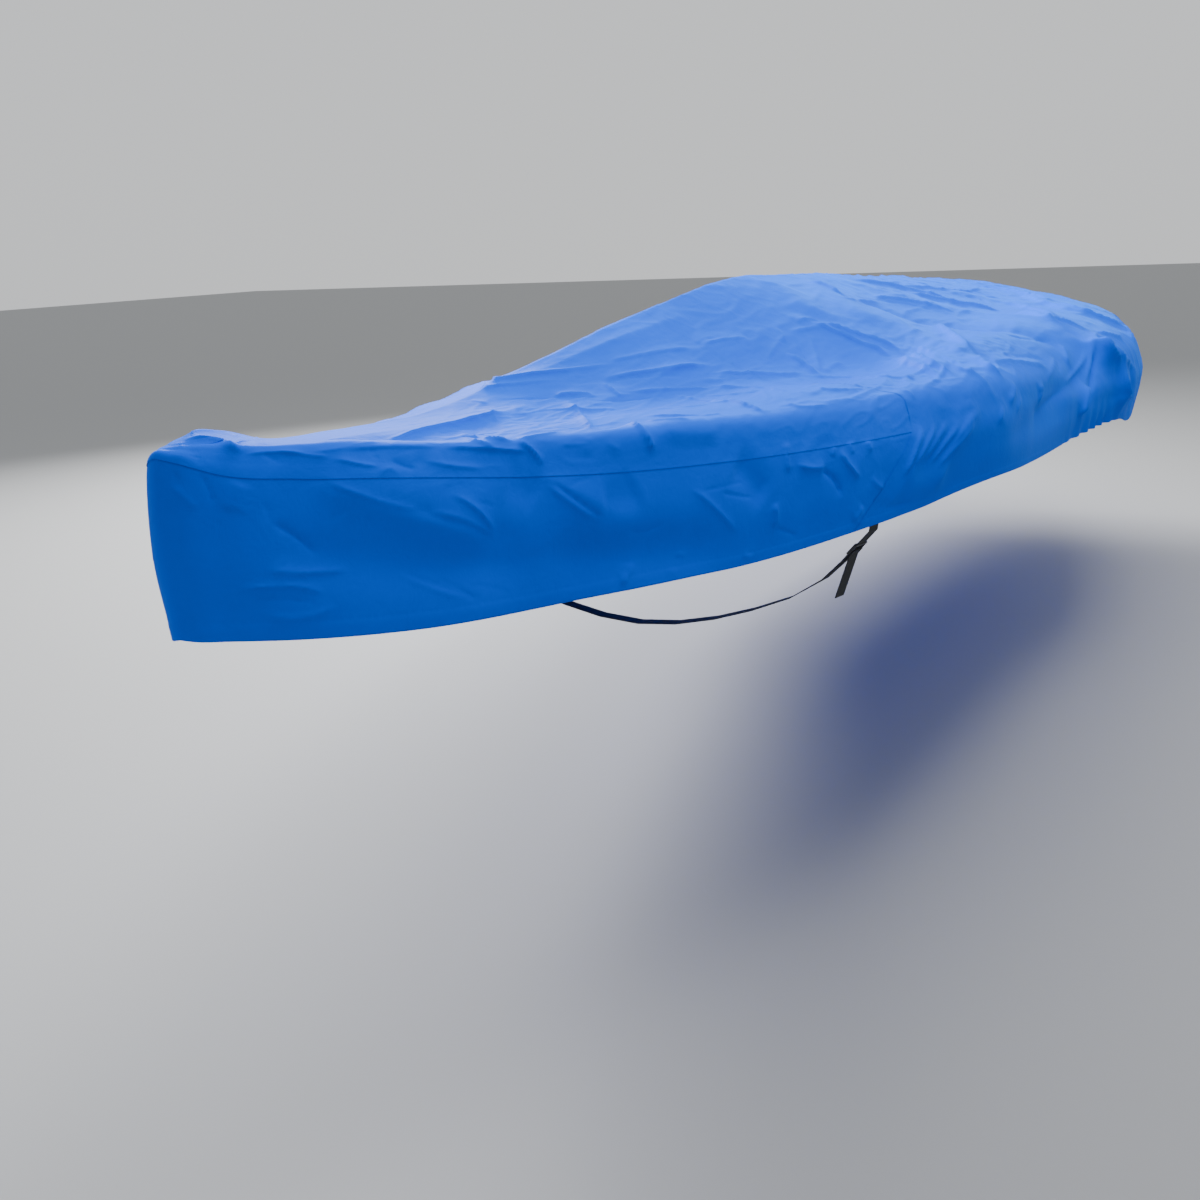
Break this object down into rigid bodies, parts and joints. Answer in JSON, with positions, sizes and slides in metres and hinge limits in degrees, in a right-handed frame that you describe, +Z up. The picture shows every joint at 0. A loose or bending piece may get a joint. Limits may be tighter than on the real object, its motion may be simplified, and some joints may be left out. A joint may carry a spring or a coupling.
{
  "type": "boat cover",
  "caption": "Fitted top cover of thin proofed cloth for an open sailing dinghy, with a bow deck panel, a wraparound bow skirt, an aft panel and a buckled strap under the hull",
  "frame": {"origin": "underside of the ridge on the centre line, 1.90 m aft of the bow, where the spar that carries the cover bears on it", "axes": "+X aft from the bow to the transom, +Y to starboard, +Z up"},
  "size_m": [4.2503, 1.5958, 0.6108],
  "materials": {
    "cover_cloth": "royal blue proofed polyester, semi-matt",
    "webbing": "black woven webbing, matt",
    "buckle_plastic": "black moulded plastic, matt"
  },
  "bodies": {
    "root": {"bow_deck": "cover_cloth", "bow_skirt": "cover_cloth", "aft_panel": "cover_cloth", "strap_port": "webbing", "strap_tail": "webbing", "strap_under": "webbing", "strap_buckle": "buckle_plastic"}
  },
  "joints": []
}
